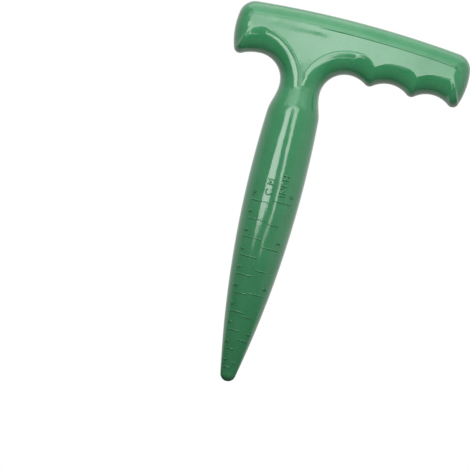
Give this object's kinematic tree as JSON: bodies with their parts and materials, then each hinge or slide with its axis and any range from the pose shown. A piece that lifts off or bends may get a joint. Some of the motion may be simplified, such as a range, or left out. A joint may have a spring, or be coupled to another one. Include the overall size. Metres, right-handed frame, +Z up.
{
  "type": "dibber",
  "caption": "T-handled plastic hand dibber with a round tapered spike, finger grooves under its long arm and a raised depth scale, made of pinned hollow half shells.",
  "frame": {"origin": "the tip of the spike, where it enters the soil", "axes": "+Z up the spike's axis from the tip to the grip, +X along the long arm with the finger grooves, +Y from the front, which carries the depth scale, to the back"},
  "size_m": [0.1279, 0.0302, 0.2027],
  "materials": {
    "green_plastic_front": "glossy moulded mid green, faint flow mottling",
    "green_plastic_back": "glossy moulded mid green, faint flow mottling"
  },
  "bodies": {
    "root": {"front_shell": "green_plastic_front", "back_shell": "green_plastic_back"}
  },
  "joints": []
}
